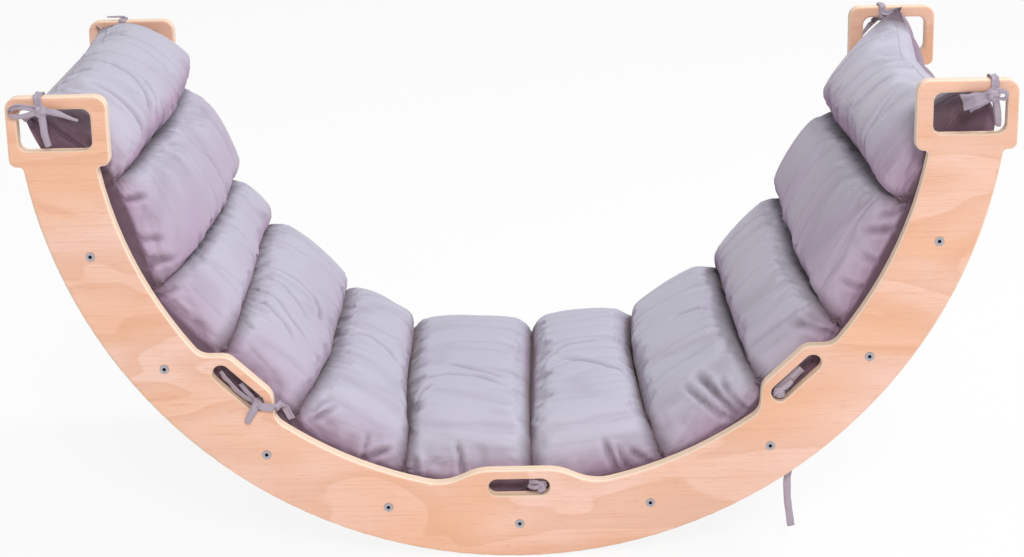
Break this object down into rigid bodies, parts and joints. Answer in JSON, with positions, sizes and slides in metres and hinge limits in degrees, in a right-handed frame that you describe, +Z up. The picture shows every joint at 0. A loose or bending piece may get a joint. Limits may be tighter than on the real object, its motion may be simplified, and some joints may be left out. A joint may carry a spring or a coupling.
{
  "type": "climbing frame",
  "caption": "Rocking climbing frame for children: two curved plywood side panels with handles, joined by dowel rungs, with a padded channel cushion tied into the cradle.",
  "frame": {"origin": "on the ground under the middle of the frame, where the curved edges touch it at rest", "axes": "+X along the frame from handle to handle, +Y across it towards the rear panel, +Z up"},
  "size_m": [1.1, 0.5406, 0.5503],
  "materials": {
    "plywood": "satin",
    "rung_wood": "satin",
    "screw_steel": "satin",
    "cushion_cotton": "matte",
    "tie_cotton": "matte"
  },
  "bodies": {
    "root": {"front_panel": "plywood", "rear_panel": "plywood", "front_screws": "screw_steel", "rear_screws": "screw_steel", "cushion": "cushion_cotton", "rung_1": "rung_wood", "rung_2": "rung_wood", "rung_3": "rung_wood", "rung_4": "rung_wood", "rung_5": "rung_wood", "rung_6": "rung_wood", "rung_7": "rung_wood", "rung_8": "rung_wood", "rung_9": "rung_wood", "front_left_tie": "tie_cotton", "front_right_tie": "tie_cotton", "rear_right_tie": "tie_cotton", "rear_left_tie": "tie_cotton", "left_slot_tie": "tie_cotton", "middle_slot_tie": "tie_cotton", "right_slot_tie": "tie_cotton", "right_slot_tail": "tie_cotton"}
  },
  "joints": []
}
